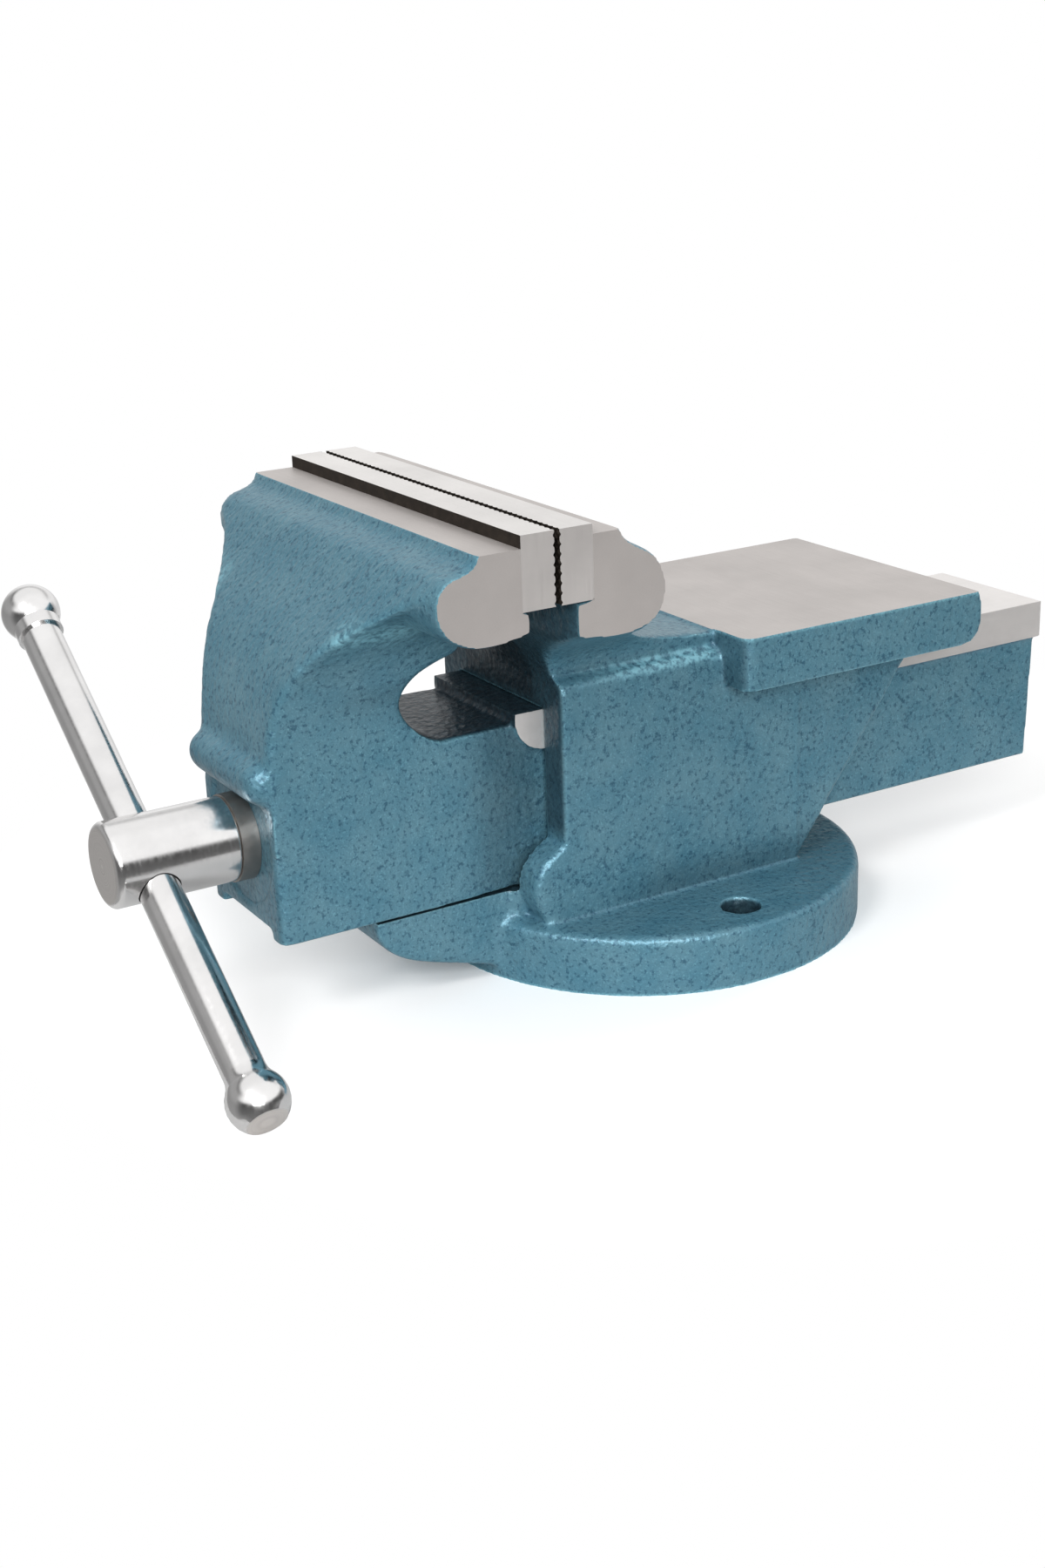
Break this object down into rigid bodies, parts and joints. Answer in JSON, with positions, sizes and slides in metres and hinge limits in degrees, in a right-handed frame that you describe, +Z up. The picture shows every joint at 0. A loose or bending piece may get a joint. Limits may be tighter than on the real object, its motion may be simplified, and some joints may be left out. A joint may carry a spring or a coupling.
{
  "type": "bench vise",
  "caption": "Fixed-base bench vise: a cast body with an anvil on a round bolt-down flange, a sliding front jaw, steel jaw plates, and a screw spindle turned by a sliding tommy bar.",
  "frame": {"origin": "centre of the round base flange on its underside, midway between the two bolt holes", "axes": "+X to the rear along the slide (anvil end; the handle is at -X), +Y across the jaws, +Z up"},
  "size_m": [0.3503, 0.1793, 0.1585],
  "materials": {
    "blue_casting": "gloss hammertone blue enamel on cast iron, machined faces bare",
    "ground_steel": "ground hardened steel",
    "bright_steel": "polished bright zinc plate",
    "dark_steel": "black oiled steel",
    "nut_iron": "bare greased cast iron"
  },
  "bodies": {
    "body": {"fixed_body": "blue_casting", "fixed_jaw_plate": "ground_steel", "fixed_plate_screws": "dark_steel", "spindle_nut": "nut_iron", "nut_bolts": "dark_steel", "nut_bolt_washers": "ground_steel", "nut_lock_washers": "dark_steel"},
    "sliding_jaw": {"moving_jaw": "blue_casting", "moving_jaw_plate": "ground_steel", "moving_plate_screws": "dark_steel"},
    "screw": {"spindle": "bright_steel", "thrust_washer": "dark_steel", "inner_washer": "ground_steel", "spindle_spring": "dark_steel", "spring_seat_washer": "ground_steel", "retaining_collar": "dark_steel", "collar_pin": "ground_steel"},
    "tommy_bar": {"handle_bar": "bright_steel", "handle_end_ball": "bright_steel"}
  },
  "joints": [
    {"name": "jaw_slide", "type": "slide", "parent": "body", "child": "sliding_jaw", "axis": [-1, 0, 0], "range_m": [-0.0015, 0.125]},
    {"name": "spindle_turn", "type": "hinge", "parent": "sliding_jaw", "child": "screw", "pos_m": [-0.1789, 0, 0.0595], "axis": [-1, 0, 0], "range_deg": [-108, 9000]},
    {"name": "handle_slide", "type": "slide", "parent": "screw", "child": "tommy_bar", "axis": [0, -0.832, -0.5548], "range_m": [-0.06, 0.079]}
  ],
  "couplings": [
    {"joint": "jaw_slide", "follows": "spindle_turn", "m_per_rad": 0.00079577}
  ]
}
